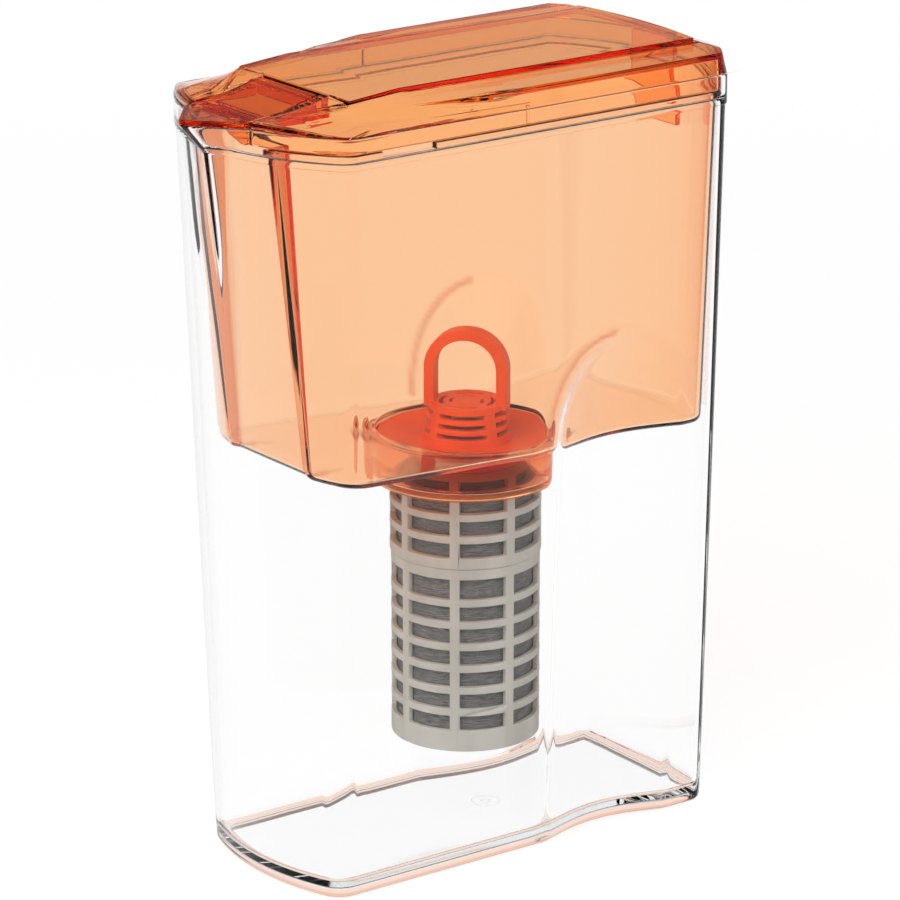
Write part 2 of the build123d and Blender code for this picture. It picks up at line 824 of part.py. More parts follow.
# Spout flap: a hollow wedge in the pocket, a lip over the spout and two arms under it
flap_foot = pocket_floor + flap_floor_gap
lip_top = jug_height + flap_lip_thickness
flap_tip = spout_tip + lid_inset
arm_length = hypot(arm_end - arm_root, arm_drop)
arm_angle = -degrees(atan2(arm_drop, arm_end - arm_root))
with BuildPart() as spout_flap:
    with BuildSketch(Plane.XZ):
        with BuildLine():
            Polyline(
                (flap_rear, jug_height + flap_rear_rise),
                (flap_middle, jug_height + flap_middle_rise),
                (flap_lip_start, lip_top),
                (flap_tip, lip_top),
                (flap_tip, jug_height),
                (band_front + 2 * wall, jug_height),
                (flap_skirt_front, flap_foot),
                (flap_rear, flap_foot),
                close=True,
            )
        make_face()
    extrude(amount=flap_half_width, both=True)
    with BuildSketch(Plane.XZ):
        with BuildLine():
            Polyline(
                (flap_rear - flap_wall, jug_height + flap_rear_rise - flap_plate),
                (flap_middle, jug_height + flap_middle_rise - flap_plate),
                (flap_skirt_front, flap_foot),
                (flap_rear - flap_wall, flap_foot),
                close=True,
            )
        make_face()
    extrude(amount=flap_half_width - flap_wall, both=True, mode=Mode.SUBTRACT)
    with BuildPart(mode=Mode.PRIVATE) as flap_plan:
        with BuildSketch(Plane.XY.offset(flap_foot)):
            add(prow_outline(flap_tip, spout_root, spout_half_width - lid_inset, flap_middle))
            with Locations((flap_rear, 0)):
                Rectangle(
                    flap_rear - flap_lip_start, 2 * flap_half_width, align=(Align.MAX, Align.CENTER)
                )
        extrude(amount=2 * panel_rise)
    add(flap_plan.part, mode=Mode.INTERSECT)
    for start in (arm_inner, -arm_inner - arm_width):
        with BuildSketch(Plane.XZ.offset(start)):
            with Locations(((arm_root + arm_end) / 2, jug_height - arm_drop / 2)):
                SlotCenterToCenter(arm_length, 2 * arm_radius, rotation=arm_angle)
        extrude(amount=arm_width)
    with BuildSketch(Plane.XZ):
        with Locations((pin_x, pin_z)):
            Circle(pin_diameter / 2 + pin_clearance)
    extrude(amount=flap_half_width, both=True, mode=Mode.SUBTRACT)
spout_flap.part.label = "spout_flap"


os.makedirs("parts", exist_ok=True)
for piece in [
    jug_body,
    reservoir,
    lid,
    flap_pin,
    spout_flap,
    cartridge_cap,
    inlet_screen,
    socket_seal,
    cap_gasket,
    upper_cage,
    lower_cage,
    felt_wrap,
    carbon_block,
    core_sleeve,
    core_tube,
    top_end_ring,
    bottom_end_cap,
]:
    export_step(piece.part, "parts/" + piece.part.label + ".step")
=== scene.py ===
import math

import bmesh
import bpy
import numpy as np
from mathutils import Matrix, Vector


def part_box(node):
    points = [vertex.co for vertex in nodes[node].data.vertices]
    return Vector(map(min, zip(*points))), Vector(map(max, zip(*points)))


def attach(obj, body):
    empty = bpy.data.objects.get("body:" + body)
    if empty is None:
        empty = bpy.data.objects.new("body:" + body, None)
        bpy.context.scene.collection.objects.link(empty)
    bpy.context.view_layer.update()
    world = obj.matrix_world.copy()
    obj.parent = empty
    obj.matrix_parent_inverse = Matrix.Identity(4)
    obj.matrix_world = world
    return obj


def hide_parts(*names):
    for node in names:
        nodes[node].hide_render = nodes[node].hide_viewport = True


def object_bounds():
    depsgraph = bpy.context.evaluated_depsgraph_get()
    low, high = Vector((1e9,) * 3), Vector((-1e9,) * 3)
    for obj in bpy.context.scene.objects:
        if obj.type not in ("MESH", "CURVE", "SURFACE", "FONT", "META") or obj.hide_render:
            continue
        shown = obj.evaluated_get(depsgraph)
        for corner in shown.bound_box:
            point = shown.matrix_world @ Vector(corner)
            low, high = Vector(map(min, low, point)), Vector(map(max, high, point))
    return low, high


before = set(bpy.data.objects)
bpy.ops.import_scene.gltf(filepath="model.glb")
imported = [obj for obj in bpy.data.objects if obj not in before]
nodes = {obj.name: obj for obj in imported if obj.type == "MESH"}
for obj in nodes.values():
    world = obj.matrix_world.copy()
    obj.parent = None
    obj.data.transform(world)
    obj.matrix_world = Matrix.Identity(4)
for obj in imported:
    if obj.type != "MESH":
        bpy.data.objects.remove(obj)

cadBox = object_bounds()
print("frame loaded with", len(nodes), "nodes")

axisX = sum(corner.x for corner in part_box("carbon_block")) / 2  # the cartridge stands about this line


class Wire:
    # one output socket, with the arithmetic that the patterns need
    def __init__(self, finish, socket):
        self.finish = finish
        self.socket = socket

    def maths(self, operation, other, swapped=False):
        pair = (other, self) if swapped else (self, other)
        return self.finish.node("Math", {"operation": operation}, {0: pair[0], 1: pair[1]})

    def __add__(self, other):
        return self.maths("ADD", other)

    def __mul__(self, other):
        return self.maths("MULTIPLY", other)

    def __sub__(self, other):
        return self.maths("SUBTRACT", other)

    def __rsub__(self, other):
        return self.maths("SUBTRACT", other, swapped=True)

    def __pow__(self, other):
        return self.maths("POWER", other)

    __radd__ = __add__
    __rmul__ = __mul__


class Finish:
    # a material or world under construction
    def __init__(self, name, owner=None):
        self.owner = owner or bpy.data.materials.new(name)
        self.owner.use_nodes = True
        self.tree = self.owner.node_tree
        self.tree.nodes.clear()

    # any node: its settings are set first, then the values or links of its sockets
    def node(self, kind, settings=None, inputs=None, output=0):
        made = self.tree.nodes.new("ShaderNode" + kind)
        for name, value in (settings or {}).items():
            setattr(made, name, value)
        for name, value in (inputs or {}).items():
            if isinstance(value, Wire):
                self.tree.links.new(value.socket, made.inputs[name])
            else:
                made.inputs[name].default_value = value
        return Wire(self, made.outputs[output])

    def place(self):
        return self.node("TexCoord", output="Object")

    # the place moved to the cartridge's axis and stretched
    def aroundAxis(self, scale):
        return self.node("Mapping", {"vector_type": "TEXTURE"},
                         {"Vector": self.place(), "Location": (axisX, 0, 0), "Scale": scale})

    def noise(self, vector, scale, detail=2.0, roughness=0.5):
        return self.node("TexNoise", {}, {
            "Vector": vector, "Scale": scale, "Detail": detail, "Roughness": roughness})

    def mixed(self, share, first, second):
        return self.node("Mix", {"data_type": "RGBA"}, {0: share, 6: first, 7: second}, output=2)

    # the share of a value between two levels, from 0 to 1
    def between(self, value, low, high):
        return self.node("MapRange", {"interpolation_type": "SMOOTHSTEP"},
                         {"Value": value, "From Min": low, "From Max": high})

    def bumped(self, height, strength, distance):
        return self.node("Bump", {}, {"Height": height, "Strength": strength, "Distance": distance})

    def surface(self, inputs):
        self.close(self.node("BsdfPrincipled", {}, inputs))

    def close(self, shader, volume=None):
        kind = "OutputWorld" if isinstance(self.owner, bpy.types.World) else "OutputMaterial"
        end = self.tree.nodes.new("ShaderNode" + kind)
        self.tree.links.new(shader.socket, end.inputs["Surface"])
        if volume:
            self.tree.links.new(volume.socket, end.inputs["Volume"])


# what the transparent plastics share: faint waves and scratches, a soft gloss, and the number of
# bounces after which guided light is let out
plasticSettings = {
    "ior": 1.5,
    "roughness": 0.0,
    "scratchRoughness": 0.03,
    "scratchBends": 60.0,
    "scratchCells": 30.0,
    "scratchWidth": 0.02,
    "waveHeight": 0.00005,
    "gloss": (0.1, 0.1, 0.1, 1),
    "guidedDepth": 18,
}
# clear moulded plastic: glass-like, greyer where it is seen edge on by painted shade, and orange where
# painted orange light is laid on the foot
clearSettings = dict(
    plasticSettings,
    face=(1.0, 1.0, 1.0, 1),
    edge=(0.10, 0.10, 0.105, 1),
    edgePower=8.0,
    waveScale=22.0,
    lampTint=(0.9, 0.9, 0.9, 1),
    deep=(0.86, 0.40, 0.22, 1),
)
clearDepth = {"Color": (0.96, 0.965, 0.965, 1), "Density": 60.0}


def glassy(name, settings, absorb):
    finish = Finish(name)
    place = finish.place()
    # painted shade: the colour turns to the darker edge colour where the surface is seen edge on,
    # standing for the dark surroundings seen through the edges
    facing = finish.node("LayerWeight", {}, {"Blend": 0.5}, output="Facing")
    colour = finish.mixed(facing ** settings["edgePower"], settings["face"], settings["edge"])
    # painted light and shade from the mesh's shares: places where the light runs along the wall are
    # painted in the deeper colour, some only where they turn away
    plain = finish.node("Attribute", {"attribute_name": "deep"}, output="Fac")
    turned = finish.node("Attribute", {"attribute_name": "turned"}, output="Fac") * facing
    colour = finish.mixed(plain.maths("MAXIMUM", turned), colour, settings["deep"])
    waves = finish.noise(place, settings["waveScale"], 1.0)
    scratches = finish.node("TexVoronoi", {"feature": "DISTANCE_TO_EDGE"},
                            {"Vector": finish.noise(place, settings["scratchBends"], 3.0),
                             "Scale": settings["scratchCells"]})
    beside = finish.between(scratches, 0.0, settings["scratchWidth"])
    rough = settings["roughness"] + settings["scratchRoughness"] * (1 - beside)
    plastic = finish.node("BsdfPrincipled", {}, {
        "Base Color": colour,
        "Roughness": rough,
        "IOR": settings["ior"],
        "Transmission Weight": 1.0,
        "Specular Tint": settings["gloss"],
        "Normal": finish.bumped(waves, 1.0, settings["waveHeight"]),
    })
    # light that is guided along inside a wall is let out in the end, and the lamps shine through
    # the plastic, so that they reach what stands inside
    depth = finish.node("LightPath", output="Ray Depth")
    guided = depth.maths("GREATER_THAN", settings["guidedDepth"])
    letOut = finish.node("BsdfTransparent", {}, {"Color": (1, 1, 1, 1)})
    solid = finish.node("MixShader", {}, {0: guided, 1: plastic, 2: letOut})
    passing = finish.node("BsdfTransparent", {}, {"Color": settings["lampTint"]})
    toLamp = finish.node("LightPath", output="Is Shadow Ray")
    shader = finish.node("MixShader", {}, {0: toLamp, 1: solid, 2: passing})
    finish.close(shader, finish.node("VolumeAbsorption", {}, absorb))
    return finish.owner


# transparent orange plastic: the colour comes from its depth, and its edges and corners are darkened
# further by painted shade
orangeSettings = dict(
    plasticSettings,
    face=(1.0, 0.84, 0.70, 1),
    edge=(0.50, 0.09, 0.01, 1),
    edgePower=6.0,
    waveScale=26.0,
    lampTint=(0.95, 0.78, 0.62, 1),
    deep=(0.66, 0.12, 0.012, 1),
)
orangeDepth = {"Color": (0.97, 0.5, 0.0, 1), "Density": 110.0}
# the lid and the flap are moulded in a deeper shade; on the flap the painted edge shade reaches far from
# the edges
lidSettings = dict(orangeSettings, face=(1.0, 0.66, 0.38, 1), edge=(0.36, 0.05, 0.005, 1),
                   edgePower=10.0)
flapSettings = dict(orangeSettings, face=(0.92, 0.42, 0.16, 1), edge=(0.22, 0.02, 0.002, 1),
                    edgePower=2.6)

# opaque orange moulding
capSettings = {
    "colour": (0.74, 0.125, 0.006, 1), "shade": (0.64, 0.095, 0.004, 1), "cloudScale": 45.0,
    "cloudFrom": 0.35, "cloudTo": 0.7, "roughness": 0.34, "roughnessDrift": 0.12, "gloss": 0.2,
    "softness": 0.05, "softDepth": 0.002, "grainScale": 2600.0, "grain": 0.25, "grainHeight": 0.00003,
}


def solidOrange():
    finish = Finish("orangeMoulding")
    settings = capSettings
    place = finish.place()
    cloud = finish.noise(place, settings["cloudScale"], 3.0)
    grain = finish.noise(place, settings["grainScale"], 2.0)
    cloudy = finish.between(cloud, settings["cloudFrom"], settings["cloudTo"])
    finish.surface({
        "Base Color": finish.mixed(cloudy, settings["colour"], settings["shade"]),
        "Roughness": settings["roughness"] + settings["roughnessDrift"] * cloud,
        "Specular IOR Level": settings["gloss"],
        "Subsurface Weight": settings["softness"],
        "Subsurface Scale": settings["softDepth"],
        "Normal": finish.bumped(grain, settings["grain"], settings["grainHeight"]),
    })
    return finish.owner


# light grey moulding of the cage: matt, with a fine grain and soft flow marks
cageSettings = {
    "colour": (0.43, 0.41, 0.365, 1), "shade": (0.35, 0.33, 0.29, 1), "flowStretch": (1, 1, 6),
    "flowScale": 70.0, "flowFrom": 0.35, "flowTo": 0.7, "roughness": 0.5, "roughnessDrift": 0.1,
    "grainScale": 2200.0, "grain": 0.35, "grainHeight": 0.00004,
}


def greyMoulding():
    finish = Finish("greyMoulding")
    settings = cageSettings
    place = finish.place()
    flow = finish.noise(finish.aroundAxis(settings["flowStretch"]), settings["flowScale"], 3.0)
    grain = finish.noise(place, settings["grainScale"], 2.0)
    flowing = finish.between(flow, settings["flowFrom"], settings["flowTo"])
    finish.surface({
        "Base Color": finish.mixed(flowing, settings["colour"], settings["shade"]),
        "Roughness": settings["roughness"] + settings["roughnessDrift"] * flow,
        "Normal": finish.bumped(grain, settings["grain"], settings["grainHeight"]),
    })
    return finish.owner


# pressed grey felt: fibres wound round the block, lying nearly level
feltSettings = {
    "dark": (0.055, 0.052, 0.05, 1), "pale": (0.26, 0.25, 0.24, 1), "blendFrom": 0.36, "blendTo": 0.66,
    "longStretch": (1, 1, 0.09), "longScale": 260.0, "longShare": 0.55,
    "fineStretch": (1, 1, 0.14), "fineScale": 1400.0, "fineShare": 0.45,
    "roughness": 0.95, "relief": 0.9, "reliefHeight": 0.0006,
}


def feltFibres():
    finish = Finish("feltFibres")
    settings = feltSettings
    long = finish.noise(finish.aroundAxis(settings["longStretch"]), settings["longScale"], 5.0, 0.65)
    fine = finish.noise(finish.aroundAxis(settings["fineStretch"]), settings["fineScale"], 4.0, 0.7)
    blend = settings["longShare"] * long + settings["fineShare"] * fine
    wound = finish.between(blend, settings["blendFrom"], settings["blendTo"])
    finish.surface({
        "Base Color": finish.mixed(wound, settings["dark"], settings["pale"]),
        "Roughness": settings["roughness"],
        "Normal": finish.bumped(blend, settings["relief"], settings["reliefHeight"]),
    })
    return finish.owner


# plain small materials: a base colour that drifts a little, and a fine grain
plainSettings = {
    "carbonGrain": {"colour": (0.018, 0.018, 0.019, 1), "drift": (0.04, 0.04, 0.042, 1), "roughness": 0.9,
                    "grain": 1500.0, "height": 0.0004},
    "whiteFleece": {"colour": (0.8, 0.8, 0.78, 1), "drift": (0.62, 0.62, 0.6, 1), "roughness": 0.9,
                    "grain": 1800.0, "height": 0.0003},
    "whiteMoulding": {"colour": (0.8, 0.8, 0.77, 1), "drift": (0.72, 0.72, 0.69, 1), "roughness": 0.4,
                      "grain": 2400.0, "height": 0.00003},
    "sealRubber": {"colour": (0.02, 0.02, 0.021, 1), "drift": (0.035, 0.034, 0.034, 1), "roughness": 0.6,
                   "grain": 2600.0, "height": 0.00004},
}


def plainFinish(name):
    settings = plainSettings[name]
    finish = Finish(name)
    place = finish.place()
    cloud = finish.noise(place, 120.0, 3.0)
    grain = finish.noise(place, settings["grain"], 3.0)
    cloudy = finish.between(cloud, 0.3, 0.7)
    finish.surface({
        "Base Color": finish.mixed(cloudy, settings["colour"], settings["drift"]),
        "Roughness": settings["roughness"] + 0.08 * grain,
        "Normal": finish.bumped(grain, 0.6, settings["height"]),
    })
    return finish.owner


clear = glassy("clearPlastic", clearSettings, clearDepth)
orange = glassy("orangePlastic", orangeSettings, orangeDepth)
lidOrange = glassy("orangeLid", lidSettings, orangeDepth)
flapOrange = glassy("orangeFlap", flapSettings, orangeDepth)
finishes = {
    "jug_body": clear,
    "reservoir": orange,
    "lid": lidOrange,
    "flap_pin": flapOrange,
    "spout_flap": flapOrange,
    "cartridge_cap": solidOrange(),
    "upper_cage": greyMoulding(),
    "felt_wrap": feltFibres(),
    "carbon_block": plainFinish("carbonGrain"),
    "core_sleeve": plainFinish("whiteFleece"),
    "core_tube": plainFinish("whiteMoulding"),
    "socket_seal": plainFinish("sealRubber"),
}
finishes["lower_cage"] = finishes["upper_cage"]
finishes["cap_gasket"] = finishes["socket_seal"]
for twin in ("inlet_screen", "top_end_ring", "bottom_end_cap"):
    finishes[twin] = finishes["core_tube"]
for name, material in finishes.items():
    for slot in nodes[name].material_slots:
        slot.material = material
print("finishes assigned to", len(finishes), "nodes")


# The jug and the reservoir are rings of columns, one ring for each level of a walk over the
# skin, in millimetres. A plan is half width, front corner, front, tail corner and tail.
plans = {
    "jugBase": (37.8, -67.4, -75.6, 88.6, 93.0),
    "jugTop": (49.1, -69.4, -89.1, 84.0, 101.3),
    "band": (49.5, -69.8, -89.5, 84.4, 101.7),
    "reservoirBase": (40.263, -62.8, -70.5, 82.251, 93.801),
}
corners = {"front": 10.0, "tail": 6.0, "basinTail": 9.0, "least": 0.15, "clear": 0.2}
# the last two sizes are the share of painted orange light on the foot and the height it reaches
jugShape = {
    "height": 263.7, "bandBottom": 253.3, "ledge": 255.2, "wall": 2.6, "rimWall": 1.6, "rimRound": 0.6,
    "baseRound": 2.5, "footWidth": 5.2, "footRound": 0.6, "underside": 2.9, "floor": 5.4,
    "floorRound": 2.5, "paintedOrangeTo": 2.4, "paintedOrange": 0.75,
}
grip = {"front": 20.0, "rear": 70.5, "middle": 46.5, "top": 177.0, "fade": 36.0, "depth": 5.9,
        "swing": 1.08, "roundness": 2.2}
# stations of the spout's prow: height, tip, root and half width
prow = [(182.0, -84.6, -80.6, 6.0), (206.0, -86.6, -82.2, 9.0), (222.5, -88.9, -83.9, 12.0),
        (238.0, -90.9, -84.6, 14.0), (253.3, -92.9, -85.1, 16.0), (263.7, -102.25, -86.8, 19.0)]
prowBlend = {"tipRound": 0.9, "tipShare": 1.3, "crease": 0.8, "creaseFrom": 190.0, "creaseOver": 15.0,
             "behind": -55, "margin": 8, "dying": 4}


# where the columns stand, in runs of first, last and count: along the straight sides by X and
# across half of the front and its middle by Y, so that the hollow, the notches, the prow and the
# channel each have columns along their edges
sideRuns = [(-57.0, -54.0, 9), (-52.0, -38.0, 6), (-36.4, -33.4, 9), (-30.0, 15.0, 12),
            (17.0, 74.0, 46), (76.0, 79.5, 3)]
frontRuns = [(-24.0, -17.0, 21), (-16.3, -2.0, 22)]
middleRun = (-1.6, 1.6, 9)
sideColumns = np.concatenate([np.linspace(*run) for run in sideRuns])
halfFront = np.concatenate([np.linspace(*run) for run in frontRuns])
frontColumns = np.concatenate([halfFront, np.linspace(*middleRun), -halfFront[::-1]])
steady = (-54.0, 74.0)  # side columns between these never move
cornerColumns, flankColumns, tailColumns = 10, 14, 26


# one end of a plan: a broad arc and a corner arc that touches it and the straight side
def endOf(plan, front, inset, radius):
    half, corner, end = (plan[0], plan[1], plan[2]) if front else (plan[0], plan[3], plan[4])
    sign = -1 if front else 1
    sag = abs(end - corner)
    broad = (sag ** 2 + half ** 2) / (2 * sag)
    middle = end - sign * broad
    small = max(radius - inset, corners["least"])
    rise = half - inset - small
    reach = math.sqrt((broad - inset - small) ** 2 - rise ** 2)
    return {"middle": middle, "broad": broad - inset, "centre": middle + sign * reach,
            "rise": rise, "radius": small, "angle": math.atan2(rise, reach), "sign": sign}


# half of an end, from the straight side to the middle plane, on the +Y side: the corner arc turns
# from 90 degrees down to the angle at which the broad arc takes over
def halfEnd(end, across):
    turn = np.linspace(math.pi / 2, end["angle"], cornerColumns)
    arc = np.stack([end["centre"] + end["sign"] * end["radius"] * np.cos(turn),
                    end["rise"] + end["radius"] * np.sin(turn)], 1)
    y = across(arc[-1, 1])
    x = end["middle"] + end["sign"] * np.sqrt(end["broad"] ** 2 - y ** 2)
    return np.concatenate([arc, np.stack([x, y], 1)])


# the whole outline of a plan, shrunk by an inset, anticlockwise seen from above: the near side,
# the tail, the far side and the front, with the same number of columns for every plan
def outline(plan, inset=0.0, tailRadius=corners["tail"]):
    front = endOf(plan, True, inset, corners["front"])
    tail = endOf(plan, False, inset, tailRadius)
    farFront = halfEnd(front, lambda top: np.linspace(top, -frontColumns[0], flankColumns)[1:-1])
    foremost = front["middle"] - np.sqrt(front["broad"] ** 2 - frontColumns ** 2)
    middleFront = np.stack([foremost, frontColumns], 1)
    farTail = halfEnd(tail, lambda top: np.linspace(top, 0.0, tailColumns)[1:])
    flip = np.array([1.0, -1.0])
    # the outermost columns give way where a corner begins sooner
    first, last = sideColumns[0], sideColumns[-1]
    along = np.interp(sideColumns, [first, *steady, last], [
        max(first, front["centre"] + corners["clear"]), *steady,
        min(last, tail["centre"] - corners["clear"])])
    straight = np.stack([along, np.full(len(along), plan[0] - inset)], 1)
    return np.concatenate([
        straight * flip, (farTail * flip), farTail[:-1][::-1],
        straight[::-1], farFront, middleFront[::-1], (farFront * flip)[::-1]])


# share of the way from one plan to the other, point by point
def blended(first, second, share):
    return first * (1 - share) + second * share


# the side hollow: an arch whose border is a superellipse in X and Z; its depth follows a sine from
# the border to the middle, raised to a power; the points of both sides move inwards by the depth
def hollowed(ring, height, shift):
    front, rear, top = grip["front"] - shift, grip["rear"] + shift, grip["top"] + shift
    x = ring[:, 0]
    across = np.where(x < grip["middle"], (grip["middle"] - x) / (grip["middle"] - front),
                      (x - grip["middle"]) / (rear - grip["middle"]))
    up = np.clip((height - (top - grip["fade"])) / grip["fade"], 0, 1)
    power = grip["roundness"]
    border = (np.clip(across, 0, 1) ** power + up ** power) ** (1 / power)
    depth = grip["depth"] * np.sin(np.clip(1 - border, 0, 1) * math.pi / 2) ** grip["swing"]
    out = ring.copy()
    out[:, 1] -= np.sign(ring[:, 1]) * depth
    return out


# the spout's prow: the front follows the foremost of the broad arc and two straight sides that
# meet at the tip, with a soft crease between them; inset draws the prow in
def pointed(ring, height, inset):
    heights, tips, roots, halves = np.array(prow).T
    tip = np.interp(height, heights, tips) + prowBlend["tipShare"] * inset
    root = np.interp(height, heights, roots)
    half = np.interp(height, heights, halves) - inset
    x, y = ring[:, 0], ring[:, 1]
    line = tip + np.sqrt(y ** 2 + prowBlend["tipRound"] ** 2) * (root - tip) / half
    risen = np.clip((height - prowBlend["creaseFrom"]) / prowBlend["creaseOver"], 0, 1)
    soft = prowBlend["crease"] * risen
    foremost = (x + line) / 2 - np.sqrt((x - line) ** 2 + soft ** 2) / 2
    reach = half + prowBlend["margin"]
    near = (height > heights[0]) & (x < prowBlend["behind"]) & (np.abs(y) < reach)
    # the crease's softness dies away from the prow, so that the rest of the arc keeps its place
    keep = np.clip((reach - np.abs(y)) / prowBlend["dying"], 0, 1)
    out = ring.copy()
    out[:, 0] = np.where(near, blended(x, np.minimum(foremost, x), keep), x)
    return out


# the plan of the jug's wall at a height, as a ring
def jugRing(height, inset):
    share = min(height, jugShape["bandBottom"]) / jugShape["bandBottom"]
    plan = [blended(low, high, share) for low, high in zip(plans["jugBase"], plans["jugTop"])]
    return outline(plan, inset)


# a quarter round as pairs: share of the radius along the first direction, then the second
def quarter(steps):
    turn = np.linspace(0, math.pi / 2, steps + 1)
    return list(zip(np.sin(turn), 1 - np.cos(turn)))


def levels(start, end, step):
    return np.linspace(start, end, max(2, int(round(abs(end - start) / step)) + 1))


wallLevels = np.concatenate([
    levels(10.0, 136.0, 18.0), levels(138.0, 182.0, 1.3), levels(186.0, 206.0, 4.0),
    levels(207.5, 253.0, 1.6)])


# all levels of the jug as (ring, heights), walked from the underside's middle over the foot, up the
# outside, over the rim and down the inside to the middle of the floor
def jugLevels():
    shape = jugShape
    walk = []

    def foot(inset, height):
        walk.append((hollowed(jugRing(0, inset), height, inset), height))

    def wall(inset, height, drawn):
        walk.append((pointed(hollowed(jugRing(height, inset), height, inset), height, drawn), height))

    def band(inset, height):
        drawn = inset * shape["wall"] / shape["rimWall"]
        walk.append((pointed(outline(plans["band"], inset), height, drawn), height))

    footRound = shape["footRound"]
    for inset in (3.5, 1.5):
        foot(shape["footWidth"] + inset, shape["underside"])
    for across, up in quarter(3):
        foot(shape["footWidth"] + footRound * (1 - across), shape["underside"] - footRound * up)
    for up, across in reversed(quarter(3)):
        foot(shape["footWidth"] - footRound * across, footRound * (1 - up))
    for across, up in quarter(6):
        foot(shape["baseRound"] * (1 - across), shape["baseRound"] * up)
    for height in [*wallLevels, shape["bandBottom"] - 0.1]:
        wall(0.0, height, 0.0)
    band(0.3, shape["bandBottom"])
    band(0.08, shape["bandBottom"] + 0.1)
    top, rimRound = shape["height"], shape["rimRound"]
    for height in levels(shape["bandBottom"] + 0.4, top - rimRound, 1.6):
        band(0.0, height)
    for up, across in quarter(4)[1:]:
        band(rimRound * across, top - rimRound * (1 - up))
    for across, down in quarter(4):
        band(shape["rimWall"] - rimRound * (1 - across), top - rimRound * down)
    for height in levels(top - 1.2, shape["ledge"] + 0.3, 1.6):
        band(shape["rimWall"], height)
    band(shape["rimWall"] + 0.3, shape["ledge"] + 0.05)
    thick = shape["wall"]
    wall(thick - 0.3, shape["ledge"], thick)
    for height in [shape["ledge"] - 0.3, shape["bandBottom"], *wallLevels[::-1]]:
        wall(thick, height, thick)
    curve = [(across, 1 - down) for down, across in quarter(5)]
    flat = [(1 + inset / shape["floorRound"], 0) for inset in (1.0, 3.5)]
    for across, up in curve + flat:
        inset = thick + shape["floorRound"] * across
        height = shape["floor"] + shape["floorRound"] * up
        walk.append((hollowed(jugRing(height, inset), height, inset), height))
    return walk


# a mesh from levels: four-sided faces between neighbouring rings; a walk that doesn't close on
# itself gets a flat face in its first and its last ring; shares gives the painted light and shade
def skinned(name, walk, closed, material, body, node, shares):
    count = len(walk[0][0])
    rings = np.array([np.column_stack([ring, np.broadcast_to(height, count)]) for ring, height in walk])
    rows = len(rings)
    index = np.arange(rows * count).reshape(rows, count)
    below = index if closed else index[:-1]
    above = np.roll(index, -1, 0) if closed else index[1:]
    faces = np.stack([below, np.roll(below, -1, 1), np.roll(above, -1, 1), above], -1)
    faces = faces.reshape(-1, 4).tolist()
    if not closed:
        faces += [index[0][::-1].tolist(), index[-1].tolist()]
    mesh = bpy.data.meshes.new(name)
    mesh.from_pydata((rings.reshape(-1, 3) / 1000).tolist(), [], faces)
    mesh.shade_smooth()
    mesh.materials.append(material)
    for attribute, share in shares(rings.reshape(-1, 3)).items():
        layer = mesh.attributes.new(attribute, "FLOAT", "POINT")
        layer.data.foreach_set("value", share.astype(np.float32))
    piece = bpy.data.objects.new(name, mesh)
    bpy.context.scene.collection.objects.link(piece)
    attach(piece, body)
    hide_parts(node)
    print(name, "has", len(mesh.polygons), "faces")


# painted orange light: the foot is coloured with the orange light of what hangs above it, up to a height
def footPaintedLight(points):
    return {"deep": jugShape["paintedOrange"] * (points[:, 2] < jugShape["paintedOrangeTo"])}


skinned("jug_skin", jugLevels(), False, clear, "jug", "jug_body", footPaintedLight)

# the moulding mark under the floor, two raised rings: with u round the ring and v round its
# section, a point is radius + section * cos v from the middle and section * sin v above it
mark = {"x": 20.5, "z": 2.5, "radii": (4.6, 1.5), "section": 0.35, "around": 64, "steps": 12}


def makeMark():
    around, steps = mark["around"], mark["steps"]
    u = np.linspace(0, 2 * math.pi, around, endpoint=False)[:, None]
    v = np.linspace(0, 2 * math.pi, steps, endpoint=False)[None, :]
    points, faces = [], []
    grid = np.arange(around * steps).reshape(around, steps)
    ahead = np.roll(grid, -1, 0)
    quads = np.stack([grid, ahead, np.roll(ahead, -1, 1), np.roll(grid, -1, 1)], -1).reshape(-1, 4)
    for count, radius in enumerate(mark["radii"]):
        reach = radius + mark["section"] * np.cos(v)
        x, y = mark["x"] + reach * np.cos(u), reach * np.sin(u)
        z = mark["z"] + mark["section"] * np.sin(v) + 0 * u
        points.append(np.stack([x, y, z], -1).reshape(-1, 3))
        faces.append(quads + count * grid.size)
    mesh = bpy.data.meshes.new("mould_mark")
    mesh.from_pydata((np.concatenate(points) / 1000).tolist(), [], np.concatenate(faces).tolist())
    mesh.shade_smooth()
    mesh.materials.append(clear)
    piece = bpy.data.objects.new("mould_mark", mesh)
    bpy.context.scene.collection.objects.link(piece)
    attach(piece, "jug")


makeMark()


# Reservoir: the same columns, with its pouring channel, finger notches and cartridge socket
basin = {
    "gap": 3.8, "wall": 1.8, "underside": 140.4, "edgeRound": 3.0, "innerRound": 1.4, "climb": 3.4,
    "channelHalf": 20.5, "channelTop": -74.5, "channelBottom": -66.5, "channelEdge": 3.0,
    "flangeInset": 2.0, "flange": 2.5, "flangeRound": 0.5,
    "notchFrom": -55.4, "notchTo": -34.9, "notchDepth": 2.5, "notchEdge": 0.8,
    "socketBottom": 125.3, "socketRadius": 32.2, "socketChamfer": 1.0, "socketFloor": 2.4,
    "hole": 26.3, "bore": 31.0, "seatBore": 29.4, "seat": 138.8, "lip": 0.5,
}
basinSpread = (0.12, 0.4, 0.7, 0.92)  # shares of the way between the wall and the socket


def smooth(value, low, high):
    share = np.clip((value - low) / (high - low), 0, 1)
    return share * share * (3 - 2 * share)


# the channel pushes the middle of the front wall back to a leaning plane
def channelled(ring, height, inset):
    top, bottom = jugShape["ledge"], basin["underside"]
    share = np.clip((height - bottom) / (top - bottom), 0, 1)
    plane = blended(basin["channelBottom"], basin["channelTop"], share) + inset
    half = basin["channelHalf"] + inset
    edge = basin["channelEdge"] / 2
    weight = 1 - smooth(np.abs(ring[:, 1]), half - edge, half + edge)
    out = ring.copy()
    push = (ring[:, 0] < 0) * weight * np.maximum(plane - ring[:, 0], 0)
    out[:, 0] += push
    return out


